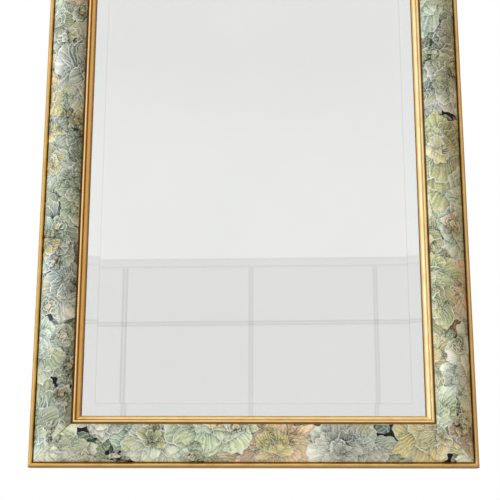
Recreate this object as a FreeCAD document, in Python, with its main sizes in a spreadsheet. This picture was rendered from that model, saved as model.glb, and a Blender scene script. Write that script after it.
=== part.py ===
import FreeCAD, Part
import os

import Sketcher
from FreeCAD import Placement, Rotation, Vector

# Wall mirror: a bevelled mirror plate in a mitred cushion frame, hung by two D rings.
# The origin is the centre of the wall plane. X runs to the viewer's right, Z up, and the front faces -Y.
# In the moulding's section, "inset" is measured from the frame's outer edge towards the glass,
# and "rise" from the back of the rails towards the front.

SIZES = {
    # The whole frame
    "overall_width": 711,
    "overall_height": 1016,
    # Gilt outer edge: a strip from the frame's back up past the groove, with a bead along its front
    "edge_width": 7,
    "edge_spring_height": 3.8,
    "edge_bead_height": 3.5,
    # Groove between the outer edge and the cover
    "outer_groove": 1.3,
    "outer_groove_depth": 4.5,
    # Printed cover over the cushion: how far its crown stands above the liner and above its outer edge
    "cover_width": 58.5,
    "cover_thickness": 0.8,
    "glue_gap": 0.1,
    "crown_height": 8,
    "crown_drop": 18.5,
    # Groove between the cover and the liner
    "inner_groove": 2.2,
    "inner_groove_depth": 2,
    # Gilt liner: a ridge, a quirk beside it, a hollowed slope and a lip over the glass
    "liner_width": 11.6,
    "ridge_width": 4.2,
    "ridge_spring_height": 1.6,
    "ridge_bead_height": 2,
    "quirk_height": 12.8,
    "slope_hollow": 0.8,
    "lip_edge_height": 6.4,
    # Rebate in the rails, as deep as the liner's underside, and the shelf beside it that the liner lies on
    "rebate_depth": 13.6,
    "liner_shelf": 4,
    "mitre_overrun": 6,
    # Mirror plate
    "glass_edge_gap": 3,
    "glass_thickness": 4.8,
    "bevel_width": 25.4,
    "bevel_drop": 2.2,
    "seat_clearance": 0.1,
    "silvering_thickness": 0.2,
    # Packing behind the plate
    "shim_length": 40,
    "shim_depth": 3,
    "shim_spacing_across": 300,
    "shim_spacing_up": 560,
    "pad_thickness": 2.8,
    "pad_edge_gap": 2,
    "board_thickness": 3.2,
    "board_edge_gap": 1,
    # Steel points driven into the rebate over the board
    "point_length": 20,
    "point_width": 10,
    "point_tip_width": 3,
    "point_thickness": 0.8,
    "point_bite": 8,
    "point_pitch": 150,
    "point_end_gap": 55,
    # V nails across each mitre
    "nail_leg": 9,
    "nail_spread": 9,
    "nail_thickness": 0.7,
    "nail_depth": 10,
    "nail_first_inset": 20,
    "nail_pitch": 17,
    # Strap hangers on the side rails
    "hanger_drop": 254,
    "hanger_inset": 40,
    "strap_width": 14,
    "strap_length": 38,
    "strap_thickness": 1.2,
    "strap_corner": 5,
    "strap_hole_radius": 2,
    "first_screw_drop": 11,
    "second_screw_drop": 28,
    # D ring
    "ring_wire_radius": 1.3,
    "ring_clearance": 0.08,
    "ring_inner_width": 20,
    "ring_leg": 6,
    # Hanger screws
    "screw_head_radius": 3.5,
    "screw_head_height": 1.9,
    "screw_radius": 1.6,
    "screw_length": 15,
    "screw_tip": 3,
    "screw_recess_width": 0.9,
    "screw_recess_span": 3.8,
    "screw_recess_depth": 1.1,
    "pilot_clearance": 0.05,
    # Rubber bumpers
    "bumper_height": 6,
    "bumper_base_radius": 8,
    "bumper_face_radius": 6.5,
    "bumper_inset": 40,
    "bumper_drop": 110,
}

NAILS_PER_CORNER = 3
# The strap's rolled end stops this many degrees round from the wood, and its arc passes half way there
ROLL_END_DEG = 290

doc = FreeCAD.newDocument("wall_mirror")
sheet = doc.addObject("Spreadsheet::Sheet", "Sizes")
for row, (name, value) in enumerate(SIZES.items(), 1):
    sheet.set(f"A{row}", name)
    sheet.set(f"B{row}", str(value))
    sheet.setAlias(f"B{row}", name)
doc.recompute()


# Insets in the moulding's section, worked out from the sheet.
# The crown is three fifths of the way across the cover.
COVER_OUT = "(Sizes.edge_width + Sizes.outer_groove)"
COVER_IN = f"({COVER_OUT} + Sizes.cover_width)"
CROWN_RUN = "(Sizes.cover_width * 3 / 5)"
CROWN = f"({COVER_OUT} + {CROWN_RUN})"
LINER_OUT = f"({COVER_IN} + Sizes.inner_groove)"
REBATE = f"({LINER_OUT} + Sizes.liner_shelf)"
RIDGE_IN = f"({LINER_OUT} + Sizes.ridge_width)"
SIGHT = f"({LINER_OUT} + Sizes.liner_width)"

# Rises in the moulding's section, each from the one before
QUIRK_RISE = "(Sizes.rebate_depth + Sizes.quirk_height)"
RIDGE_SPRING_RISE = f"({QUIRK_RISE} + Sizes.ridge_spring_height)"
RIDGE_RISE = f"({RIDGE_SPRING_RISE} + Sizes.ridge_bead_height)"
INNER_GROOVE_RISE = f"({RIDGE_SPRING_RISE} - Sizes.inner_groove_depth)"
CROWN_RISE = f"({RIDGE_RISE} + Sizes.crown_height)"
OUTER_GROOVE_RISE = f"({CROWN_RISE} - Sizes.crown_drop - Sizes.outer_groove_depth)"
EDGE_SPRING_RISE = f"({OUTER_GROOVE_RISE} + Sizes.edge_spring_height)"
EDGE_RISE = f"({EDGE_SPRING_RISE} + Sizes.edge_bead_height)"

# The cushion's round, and how far the core lies under the cover's face
CROWN_RADIUS = f"(({CROWN_RUN}^2 + Sizes.crown_drop^2) / (2 * Sizes.crown_drop))"
CORE_SINK = "(Sizes.cover_thickness + Sizes.glue_gap)"

# The plate bears on the liner's lip part of the way up its bevel, and the packing lies behind it
GLASS_INSET = f"({REBATE} + Sizes.glass_edge_gap)"
BEVEL_AT_LIP = f"(Sizes.bevel_drop * (1 - ({SIGHT} - {GLASS_INSET}) / Sizes.bevel_width))"
GLASS_FRONT = f"(Sizes.rebate_depth - Sizes.seat_clearance + {BEVEL_AT_LIP})"
GLASS_BACK = f"({GLASS_FRONT} - Sizes.glass_thickness)"
SILVER_BACK = f"({GLASS_BACK} - Sizes.silvering_thickness)"
PAD_BACK = f"({SILVER_BACK} - Sizes.pad_thickness)"
BOARD_BACK = f"({PAD_BACK} - Sizes.board_thickness)"

# The D ring turns in the strap's rolled end
RING_BORE = "(Sizes.ring_wire_radius + Sizes.ring_clearance)"
ROLL_RADIUS = f"({RING_BORE} + Sizes.strap_thickness)"
RING_BEND = "(Sizes.ring_inner_width / 2 + Sizes.ring_wire_radius)"

# How far each side's length of moulding is turned about Y from the bottom one
TURNS_DEG = {"bottom": 0, "right": 270, "top": 180, "left": 90}
# The middle of each side's outer edge, across and up, and the length of the side
SIDES = {
    "bottom": ("0", "-Sizes.overall_height / 2", "Sizes.overall_width"),
    "right": ("Sizes.overall_width / 2", "0", "Sizes.overall_height"),
    "top": ("0", "Sizes.overall_height / 2", "Sizes.overall_width"),
    "left": ("-Sizes.overall_width / 2", "0", "Sizes.overall_height"),
}
HANDS = ("left", "right")
NODES = []


def number(expression):
    """The value of an expression on the sheet."""
    return float(sheet.evalExpression(expression))


def keep(label, sub_part):
    """Names a finished sub-part and puts it on the list that is written out."""
    sub_part.Label = label
    NODES.append(sub_part)
    return sub_part


def mirrored(name, amount):
    """The amount, turned negative for the left or the bottom."""
    return -amount if name in ("left", "bottom") else amount


def cushion_rise(inset, sink="0"):
    """Rise of the cushion's round at an inset, for a surface sunk below the cover's face."""
    radius = f"({CROWN_RADIUS} - {sink})"
    return f"({CROWN_RISE} - {CROWN_RADIUS} + sqrt({radius}^2 - ({CROWN} - {inset})^2))"


def origin_plane(body, role):
    """The body's own origin plane with the given role."""
    return next(feature for feature in body.Origin.OriginFeatures if feature.Role == role)


def new_sketch(body, role, name):
    """An empty sketch flat on one of the body's origin planes."""
    sketch = body.newObject("Sketcher::SketchObject", name)
    sketch.AttachmentSupport = (origin_plane(body, role), [""])
    sketch.MapMode = "FlatFace"
    return sketch


def bind_point(sketch, geometry, end, place):
    """Holds a point of the sketch at two expressions on the sheet."""
    for kind, expression in zip(("DistanceX", "DistanceY"), place):
        held = Sketcher.Constraint(kind, -1, 1, geometry, end, number(expression))
        sketch.setExpression(f"Constraints[{sketch.addConstraint(held)}]", expression)


def draw_outline(sketch, corners):
    """A closed outline. A corner is (x, y), or (x, y, (x, y)) where an arc leaves it through a third point."""
    points = [Vector(number(corner[0]), number(corner[1]), 0) for corner in corners]
    edges = []
    for index, corner in enumerate(corners):
        start, end = points[index], points[(index + 1) % len(points)]
        if len(corner) == 2:
            geometry = sketch.addGeometry(Part.LineSegment(start, end))
        else:
            middle = Vector(number(corner[2][0]), number(corner[2][1]), 0)
            turns_left = (middle - start).cross(end - start).z > 0
            ends = (start, end) if turns_left else (end, start)
            geometry = sketch.addGeometry(Part.Arc(ends[0], middle, ends[1]))
            on_arc = sketch.addGeometry(Part.Point(middle), True)
            bind_point(sketch, on_arc, 1, corner[2])
            sketch.addConstraint(Sketcher.Constraint("PointOnObject", on_arc, 1, geometry))
        drawn = sketch.Geometry[geometry]
        forward = drawn.StartPoint.distanceToPoint(start) < drawn.EndPoint.distanceToPoint(start)
        edges.append((geometry, 1 if forward else 2))
    for index, (geometry, first) in enumerate(edges):
        following, start = edges[(index + 1) % len(edges)]
        sketch.addConstraint(Sketcher.Constraint("Coincident", geometry, 3 - first, following, start))
        bind_point(sketch, geometry, first, corners[index])


def draw_circle(sketch, centre, radius):
    """A circle held at two expressions, with its radius bound to a third."""
    middle = Vector(number(centre[0]), number(centre[1]), 0)
    round_edge = sketch.addGeometry(Part.Circle(middle, Vector(0, 0, 1), number(radius)))
    bind_point(sketch, round_edge, 3, centre)
    held = Sketcher.Constraint("Radius", round_edge, number(radius))
    sketch.setExpression(f"Constraints[{sketch.addConstraint(held)}]", radius)


def pad_both_ways(body, sketch, length):
    """Pads a sketch by a length, half on each side of its plane."""
    pad = body.newObject("PartDesign::Pad", "Pad")
    pad.Profile = sketch
    pad.SideType = "Symmetric"
    pad.setExpression("Length", length)
    return pad


def cut_through(body, sketch):
    """Cuts a sketch through the whole body, both ways."""
    pocket = body.newObject("PartDesign::Pocket", "Cut")
    pocket.Profile = sketch
    pocket.Type = "ThroughAll"
    pocket.SideType = "Symmetric"
    return pocket


def on_side(side, along=0, inset=0, rise=0):
    """Placement on a side of the frame: X along it, Y towards the glass, Z from the back to the front."""
    start_x, start_z, _ = SIDES[side]
    start = Vector(number(start_x), -number("Sizes.bumper_height"), number(start_z))
    stand = Rotation(Vector(0, 1, 0), TURNS_DEG[side]).multiply(Rotation(Vector(1, 0, 0), 90))
    return Placement(start, stand).multiply(Placement(Vector(along, inset, rise), Rotation()))


def mitred_length(name, side, corners):
    """A length of moulding for one side of the frame: its section, padded and mitred at both ends."""
    length = SIDES[side][2]
    body = doc.addObject("PartDesign::Body", f"{name}_{side}")
    section = new_sketch(body, "YZ_Plane", "Section")
    draw_outline(section, corners)
    pad_both_ways(body, section, length)
    mitres = new_sketch(body, "XY_Plane", "Mitres")
    reach = f"({SIGHT} + Sizes.mitre_overrun)"
    for sign in ("-", ""):
        end = f"{sign}({length} / 2)"
        draw_outline(mitres, [(end, "0"), (end, reach), (f"{sign}({length} / 2 - {reach})", reach)])
    cut_through(body, mitres)
    body.Placement = on_side(side)
    return keep(f"{name}_{side}", body)


def edge_section():
    """Gilt outer edge: a strip with a bead along its front."""
    return [
        ("0", "0"),
        ("Sizes.edge_width", "0"),
        ("Sizes.edge_width", EDGE_SPRING_RISE, ("Sizes.edge_width / 2", EDGE_RISE)),
        ("0", EDGE_SPRING_RISE),
    ]


def rail_section():
    """Core rail: flat back, rebate for the plate, shelf for the liner, two grooves and the cushion's round."""
    outer = f"({COVER_OUT} + {CORE_SINK})"
    inner = f"({COVER_IN} - {CORE_SINK})"
    crown = (CROWN, f"({CROWN_RISE} - {CORE_SINK})")
    return [
        ("Sizes.edge_width", "0"),
        (REBATE, "0"),
        (REBATE, "Sizes.rebate_depth"),
        (LINER_OUT, "Sizes.rebate_depth"),
        (LINER_OUT, INNER_GROOVE_RISE),
        (inner, INNER_GROOVE_RISE),
        (inner, cushion_rise(inner, CORE_SINK), crown),
        (outer, cushion_rise(outer, CORE_SINK)),
        (outer, OUTER_GROOVE_RISE),
        ("Sizes.edge_width", OUTER_GROOVE_RISE),
    ]


def cover_section():
    """Printed cover: an even skin over the round, turned down into both grooves."""
    outer = f"({COVER_OUT} + Sizes.cover_thickness)"
    inner = f"({COVER_IN} - Sizes.cover_thickness)"
    return [
        (COVER_OUT, OUTER_GROOVE_RISE),
        (outer, OUTER_GROOVE_RISE),
        (outer, cushion_rise(outer, "Sizes.cover_thickness"), (CROWN, f"{CROWN_RISE} - Sizes.cover_thickness")),
        (inner, cushion_rise(inner, "Sizes.cover_thickness")),
        (inner, INNER_GROOVE_RISE),
        (COVER_IN, INNER_GROOVE_RISE),
        (COVER_IN, cushion_rise(COVER_IN), (CROWN, CROWN_RISE)),
        (COVER_OUT, cushion_rise(COVER_OUT)),
    ]


def liner_section():
    """Gilt liner: flat underside, lip over the plate, hollowed slope, quirk and rounded ridge."""
    lip_edge_rise = "(Sizes.rebate_depth + Sizes.lip_edge_height)"
    slope_middle = (f"({RIDGE_IN} + {SIGHT}) / 2", f"({QUIRK_RISE} + {lip_edge_rise}) / 2 - Sizes.slope_hollow")
    ridge_top = (f"{LINER_OUT} + Sizes.ridge_width / 2", RIDGE_RISE)
    return [
        (LINER_OUT, "Sizes.rebate_depth"),
        (SIGHT, "Sizes.rebate_depth"),
        (SIGHT, lip_edge_rise, slope_middle),
        (RIDGE_IN, QUIRK_RISE),
        (RIDGE_IN, RIDGE_SPRING_RISE, ridge_top),
        (LINER_OUT, RIDGE_SPRING_RISE),
    ]


def drill_pilot_holes(body, side):
    """Pilot holes in the back of a side rail for the hanger's two screws."""
    sketch = new_sketch(body, "XY_Plane", "Pilots")
    sign = "-" if side == "left" else ""
    for drop in ("Sizes.first_screw_drop", "Sizes.second_screw_drop"):
        height = f"{sign}(Sizes.overall_height / 2 - Sizes.hanger_drop - {drop})"
        draw_circle(sketch, (height, "Sizes.hanger_inset"), "Sizes.screw_radius + Sizes.pilot_clearance")
    pocket = body.newObject("PartDesign::Pocket", "Pilot_holes")
    pocket.Profile = sketch
    pocket.Reversed = True
    pocket.setExpression("Length", "Sizes.screw_length - Sizes.strap_thickness + Sizes.pilot_clearance")


def make_frame():
    """Four core rails, and on each a cover, a gilt outer edge and a gilt liner."""
    for side in SIDES:
        rail = mitred_length("rail", side, rail_section())
        if side in HANDS:
            drill_pilot_holes(rail, side)
        mitred_length("cover", side, cover_section())
        mitred_length("edge", side, edge_section())
        mitred_length("liner", side, liner_section())


def flat_sheet(name, inset, back, thickness):
    """A box that fills the frame to an inset, from a rise towards the front."""
    box = doc.addObject("Part::Box", name)
    box.setExpression("Length", f"Sizes.overall_width - 2 * ({inset})")
    box.setExpression("Width", f"Sizes.overall_height - 2 * ({inset})")
    box.setExpression("Height", thickness)
    along = number(inset) - number("Sizes.overall_width") / 2
    box.Placement = on_side("bottom", along, number(inset), number(back))
    return box


def make_mirror_plate():
    """The plate: a slab as thick as its ground edge, and above it the taper that the bevel cuts."""
    edge_thickness = "Sizes.glass_thickness - Sizes.bevel_drop"
    slab = flat_sheet("plate_slab", GLASS_INSET, GLASS_BACK, edge_thickness)
    taper = doc.addObject("Part::Wedge", "plate_taper")
    for axis, overall in (("X", "Sizes.overall_width"), ("Z", "Sizes.overall_height")):
        far = f"{overall} - 2 * {GLASS_INSET}"
        taper.setExpression(f"{axis}min", "0")
        taper.setExpression(f"{axis}max", far)
        taper.setExpression(f"{axis}2min", "Sizes.bevel_width")
        taper.setExpression(f"{axis}2max", f"{far} - Sizes.bevel_width")
    taper.setExpression("Ymin", "0")
    taper.setExpression("Ymax", "Sizes.bevel_drop")
    corner = Vector(
        number(f"{GLASS_INSET} - Sizes.overall_width / 2"),
        -number(f"Sizes.bumper_height + {GLASS_BACK} + {edge_thickness}"),
        number(f"Sizes.overall_height / 2 - {GLASS_INSET}"),
    )
    taper.Placement = Placement(corner, Rotation(Vector(1, 0, 0), 180))
    plate = doc.addObject("Part::Fuse", "mirror_glass")
    plate.Base = slab
    plate.Tool = taper
    plate.Refine = True
    keep("mirror_glass", plate)


def make_backing():
    """Silvering, card and board behind the plate, each lying on the one before."""
    keep("mirror_silvering", flat_sheet("silvering", GLASS_INSET, SILVER_BACK, "Sizes.silvering_thickness"))
    pad_inset = f"({REBATE} + Sizes.pad_edge_gap)"
    keep("card_pad", flat_sheet("pad", pad_inset, PAD_BACK, "Sizes.pad_thickness"))
    board_inset = f"({REBATE} + Sizes.board_edge_gap)"
    keep("backing_board", flat_sheet("board", board_inset, BOARD_BACK, "Sizes.board_thickness"))


def make_shims():
    """Two spacers a side between the plate's edge and the rebate."""
    shims = []
    for side in SIDES:
        spacing = number("Sizes.shim_spacing_up" if side in HANDS else "Sizes.shim_spacing_across")
        for hand in HANDS:
            shim = doc.addObject("Part::Box", f"shim_{side}")
            shim.setExpression("Length", "Sizes.shim_length")
            shim.setExpression("Width", "Sizes.glass_edge_gap")
            shim.setExpression("Height", "Sizes.shim_depth")
            along = mirrored(hand, spacing) / 2 - number("Sizes.shim_length") / 2
            shim.Placement = on_side(side, along, number(REBATE), number(GLASS_BACK))
            shims.append(shim)
    group = doc.addObject("Part::Compound", "shims")
    group.Links = shims
    keep("glass_edge_shims", group)


def make_glazing_points():
    """Tapered steel points, evenly spaced round the rebate, that bite into the rails behind the board."""
    pitch = number("Sizes.point_pitch")
    points = []
    for side, (_, _, length) in SIDES.items():
        span = number(f"{length} - 2 * ({REBATE} + Sizes.point_end_gap)")
        gaps = max(1, int(span / pitch))
        for index in range(gaps + 1):
            point = doc.addObject("Part::Wedge", f"point_{side}")
            for axis, half in (("X", "point_tip_width"), ("X2", "point_width")):
                point.setExpression(f"{axis}min", f"-Sizes.{half} / 2")
                point.setExpression(f"{axis}max", f"Sizes.{half} / 2")
            point.setExpression("Ymin", "-Sizes.point_bite")
            point.setExpression("Ymax", "Sizes.point_length - Sizes.point_bite")
            for level in ("Z", "Z2"):
                point.setExpression(f"{level}min", "-Sizes.point_thickness")
                point.setExpression(f"{level}max", "0")
            along = span * index / gaps - span / 2
            point.Placement = on_side(side, along, number(REBATE), number(BOARD_BACK))
            points.append(point)
    group = doc.addObject("Part::Compound", "points")
    group.Links = points
    keep("glazing_points", group)


def make_v_nails():
    """V nails driven in from the back, their points towards the corner and a leg on each side of the mitre."""
    nail = doc.addObject("PartDesign::Body", "v_nail")
    outline = new_sketch(nail, "XY_Plane", "Outline")
    half = "Sizes.nail_spread / 2"
    slant = "sqrt(Sizes.nail_leg^2 - (Sizes.nail_spread / 2)^2)"
    wall = f"Sizes.nail_thickness * Sizes.nail_leg / ({half})"
    corners = [
        ("0", "0"),
        (slant, half),
        (f"{slant} + {wall}", half),
        (wall, "0"),
        (f"{slant} + {wall}", f"-{half}"),
        (slant, f"-{half}"),
    ]
    draw_outline(outline, corners)
    pad = nail.newObject("PartDesign::Pad", "Pad")
    pad.Profile = outline
    pad.setExpression("Length", "Sizes.nail_depth")
    nails = []
    for hand in HANDS:
        for end in ("bottom", "top"):
            inwards = Vector(-mirrored(hand, 1), 0, -mirrored(end, 1))
            forwards = Vector(0, -1, 0)
            turn = Rotation(inwards, forwards.cross(inwards), forwards, "ZXY")
            for index in range(NAILS_PER_CORNER):
                inset = number("Sizes.nail_first_inset") + index * number("Sizes.nail_pitch")
                corner = Vector(
                    mirrored(hand, number("Sizes.overall_width") / 2 - inset),
                    -number("Sizes.bumper_height"),
                    mirrored(end, number("Sizes.overall_height") / 2 - inset),
                )
                copy = doc.addObject("App::Link", "v_nail_copy")
                copy.LinkedObject = nail
                copy.Placement = Placement(corner, turn)
                nails.append(copy)
    group = doc.addObject("Part::Compound", "v_nails")
    group.Links = nails
    keep("corner_v_nails", group)


def hanger_place(hand, drop=0, lift=0):
    """A place on the back of a side rail, below the ring's axis by drop and off the wood by lift."""
    return Vector(
        mirrored(hand, number("Sizes.overall_width / 2 - Sizes.hanger_inset")),
        lift - number("Sizes.bumper_height"),
        number("Sizes.overall_height / 2 - Sizes.hanger_drop") - drop,
    )


def round_the_roll(radius, degrees):
    """A point on a circle about the ring's axis, by the angle turned from the wood, over the top."""
    angle = f"{degrees} deg"
    return (f"{ROLL_RADIUS} - {radius} * cos({angle})", f"{radius} * sin({angle})")


def make_strap(hand):
    """Strap: a strip flat on the wood, rolled at its upper end round the ring's bar, with two screw holes."""
    body = doc.addObject("PartDesign::Body", f"strap_{hand}")
    section = new_sketch(body, "YZ_Plane", "Section")
    thickness = "Sizes.strap_thickness"
    corners = [
        ("0", "-Sizes.strap_length"),
        ("0", "0", round_the_roll(ROLL_RADIUS, ROLL_END_DEG / 2)),
        round_the_roll(ROLL_RADIUS, ROLL_END_DEG),
        (*round_the_roll(RING_BORE, ROLL_END_DEG), round_the_roll(RING_BORE, ROLL_END_DEG / 2)),
        (thickness, "0"),
        (thickness, "-Sizes.strap_length"),
    ]
    draw_outline(section, corners)
    pad_both_ways(body, section, "Sizes.strap_width")
    holes = new_sketch(body, "XZ_Plane", "Screw_holes")
    for drop in ("Sizes.first_screw_drop", "Sizes.second_screw_drop"):
        draw_circle(holes, ("0", f"-{drop}"), "Sizes.strap_hole_radius")
    cut_through(body, holes)
    ends = new_sketch(body, "XZ_Plane", "End_corners")
    half = "Sizes.strap_width / 2"
    for sign in ("-", ""):
        draw_outline(
            ends,
            [
                (f"{sign}({half})", "-Sizes.strap_length"),
                (f"{sign}({half})", "-Sizes.strap_length + Sizes.strap_corner"),
                (f"{sign}({half} - Sizes.strap_corner)", "-Sizes.strap_length"),
            ],
        )
    cut_through(body, ends)
    body.Placement = Placement(hanger_place(hand), Rotation())
    keep(f"hanger_strap_{hand}", body)


def make_ring(hand):
    """D ring, hanging: a bar through the strap, two legs and a half round, all of one wire."""
    pieces = []
    half = number(RING_BEND)
    leg = number("Sizes.ring_leg")
    bar = doc.addObject("Part::Cylinder", "ring_bar")
    bar.setExpression("Height", f"2 * {RING_BEND}")
    bar.Placement = Placement(Vector(-half, 0, 0), Rotation(Vector(0, 1, 0), 90))
    pieces.append(bar)
    for end in HANDS:
        upright = doc.addObject("Part::Cylinder", "ring_leg")
        upright.setExpression("Height", "Sizes.ring_leg")
        upright.Placement = Placement(Vector(mirrored(end, half), 0, -leg), Rotation())
        corner = doc.addObject("Part::Sphere", "ring_corner")
        corner.Placement = Placement(Vector(mirrored(end, half), 0, 0), Rotation())
        pieces += [upright, corner]
    for piece in pieces:
        piece.setExpression("Radius", "Sizes.ring_wire_radius")
    bow = doc.addObject("Part::Torus", "ring_bow")
    bow.setExpression("Radius1", RING_BEND)
    bow.setExpression("Radius2", "Sizes.ring_wire_radius")
    bow.Angle3 = 180
    bow.Placement = Placement(Vector(0, 0, -leg), Rotation(Vector(1, 0, 0), -90))
    ring = doc.addObject("Part::MultiFuse", f"ring_{hand}")
    ring.Shapes = [*pieces, bow]
    ring.Refine = True
    ring.Placement = Placement(hanger_place(hand, lift=number(ROLL_RADIUS)), Rotation())
    keep(f"hanger_ring_{hand}", ring)


def make_hanger_screws():
    """Pan head wood screws with a cross recess, two through each strap."""
    screw = doc.addObject("PartDesign::Body", "screw")
    profile = new_sketch(screw, "XZ_Plane", "Profile")
    head_shoulder = ("Sizes.screw_head_radius * cos(45 deg)", "Sizes.screw_head_height * sin(60 deg)")
    corners = [
        ("0", "-Sizes.screw_length"),
        ("Sizes.screw_radius", "-(Sizes.screw_length - Sizes.screw_tip)"),
        ("Sizes.screw_radius", "0"),
        ("Sizes.screw_head_radius", "0", head_shoulder),
        ("0", "Sizes.screw_head_height"),
    ]
    draw_outline(profile, corners)
    turned = screw.newObject("PartDesign::Revolution", "Turned")
    turned.Profile = profile
    turned.ReferenceAxis = (profile, ["V_Axis"])
    turned.Angle = 360
    recess = new_sketch(screw, "XY_Plane", "Recess")
    slim, long = "Sizes.screw_recess_width / 2", "Sizes.screw_recess_span / 2"
    arms = [(long, slim), (slim, slim), (slim, long)]
    quarters = []
    for across, up in (("", ""), ("-", ""), ("-", "-"), ("", "-")):
        quarter = [(f"{across}({x})", f"{up}({y})") for x, y in arms]
        quarters += quarter if across == up else quarter[::-1]
    draw_outline(recess, quarters)
    pocket = screw.newObject("PartDesign::Pocket", "Cross_recess")
    pocket.Profile = recess
    pocket.Reversed = True
    pocket.setExpression("Length", "Sizes.screw_head_height")
    recess.AttachmentOffset = Placement(
        Vector(0, 0, number("Sizes.screw_head_height - Sizes.screw_recess_depth")), Rotation()
    )
    heads_back = Rotation(Vector(1, 0, 0), -90)
    screws = []
    for hand in HANDS:
        for drop in ("Sizes.first_screw_drop", "Sizes.second_screw_drop"):
            copy = doc.addObject("App::Link", "screw_copy")
            copy.LinkedObject = screw
            seat = hanger_place(hand, number(drop), number("Sizes.strap_thickness"))
            copy.Placement = Placement(seat, heads_back)
            screws.append(copy)
    group = doc.addObject("Part::Compound", "screws")
    group.Links = screws
    keep("hanger_screws", group)


def make_bumpers():
    """Tapered rubber bumpers on the backs of the side rails, whose faces lie in the wall plane."""
    for end in ("bottom", "top"):
        for hand in HANDS:
            bumper = doc.addObject("Part::Cone", f"bumper_{end}_{hand}")
            bumper.setExpression("Radius1", "Sizes.bumper_base_radius")
            bumper.setExpression("Radius2", "Sizes.bumper_face_radius")
            bumper.setExpression("Height", "Sizes.bumper_height")
            seat = Vector(
                mirrored(hand, number("Sizes.overall_width / 2 - Sizes.bumper_inset")),
                -number("Sizes.bumper_height"),
                mirrored(end, number("Sizes.overall_height / 2 - Sizes.bumper_drop")),
            )
            bumper.Placement = Placement(seat, Rotation(Vector(1, 0, 0), -90))
            keep(f"bumper_{end}_{hand}", bumper)


def write_parts():
    """Checks every object and sub-part, then writes one STEP file for each sub-part."""
    doc.recompute()
    for item in doc.Objects:
        if {"Invalid", "Error"} & set(item.State):
            raise RuntimeError(f"{item.Label} failed: {item.State}")
    for node in NODES:
        if node.Shape.isNull() or not node.Shape.isValid():
            raise RuntimeError(f"{node.Label} has no valid shape")
    os.makedirs("parts", exist_ok=True)
    for node in NODES:
        node.Shape.exportStep(os.path.join("parts", f"{node.Label}.step"))
        print(f"{node.Label}: {len(node.Shape.Solids)} solid(s), {node.Shape.Volume:.0f} mm3")


make_frame()
make_mirror_plate()
make_backing()
make_shims()
make_glazing_points()
make_v_nails()
for each_hand in HANDS:
    make_strap(each_hand)
    make_ring(each_hand)
make_hanger_screws()
make_bumpers()
write_parts()
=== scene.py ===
"""Looks of a wall mirror: a bevelled plate in a cushion frame, gilt at both edges, with a printed cover."""

import math

import bpy
import numpy as np
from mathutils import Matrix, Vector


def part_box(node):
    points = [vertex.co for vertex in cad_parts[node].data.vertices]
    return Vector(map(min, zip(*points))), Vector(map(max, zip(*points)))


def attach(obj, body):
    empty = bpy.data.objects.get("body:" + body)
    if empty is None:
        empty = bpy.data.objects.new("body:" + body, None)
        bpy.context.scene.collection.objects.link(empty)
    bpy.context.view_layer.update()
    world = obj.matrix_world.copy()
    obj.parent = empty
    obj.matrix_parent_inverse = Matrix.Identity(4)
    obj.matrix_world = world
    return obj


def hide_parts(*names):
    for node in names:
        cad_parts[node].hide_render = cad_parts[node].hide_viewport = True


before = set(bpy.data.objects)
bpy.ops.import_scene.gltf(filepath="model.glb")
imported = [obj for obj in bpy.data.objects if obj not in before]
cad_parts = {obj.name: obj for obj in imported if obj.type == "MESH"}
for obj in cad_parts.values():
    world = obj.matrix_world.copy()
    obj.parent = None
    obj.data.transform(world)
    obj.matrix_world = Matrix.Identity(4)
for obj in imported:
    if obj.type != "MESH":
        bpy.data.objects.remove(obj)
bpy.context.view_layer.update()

# The moulding's section in millimetres, as the source has it: insets from the frame's outer edge, and
# rises from the rails' back
HALF = {"across": 355.5, "up": 508.0}
WALL_GAP = 6.0
COVER_OUT, COVER_IN, COVER_THICKNESS = 8.3, 66.8, 0.8
CROWN, CROWN_RISE = 43.4, 38.0
# The round's radius follows from how far it falls between its crown and the cover's outer edge
CROWN_RUN, CROWN_DROP = 35.1, 18.5
CROWN_RADIUS = (CROWN_RUN**2 + CROWN_DROP**2) / (2 * CROWN_DROP)
OUTER_GROOVE_RISE, INNER_GROOVE_RISE = 15.0, 26.0
EDGE_WIDTH, EDGE_SPRING, EDGE_TOP = 7.0, 18.8, 22.3
LINER_OUT, SIGHT, REBATE_DEPTH = 69.0, 80.6, 13.6
RIDGE_IN, RIDGE_SPRING, RIDGE_TOP = 73.2, 28.0, 30.0
QUIRK, SLOPE_HOLLOW, LIP_EDGE = 26.4, 0.8, 20.0
BEVEL_END = {"across": 254.1, "up": 406.6}
# The gap left at a mitre, the radius that the cover's ends are rounded over with, and its grid's step
MITRE_GAP, END_RADIUS, GRID_STEP = 0.06, 0.5, 0.97

# Each side: which half its length and its place are measured by, its direction, and the way to the glass
SIDES = {
    "bottom": ("across", "up", (1, 0, 0), (0, 0, 1)),
    "right": ("up", "across", (0, 0, 1), (-1, 0, 0)),
    "top": ("across", "up", (-1, 0, 0), (0, 0, -1)),
    "left": ("up", "across", (0, 0, -1), (1, 0, 0)),
}
FORWARD = (0, -1, 0)

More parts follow.
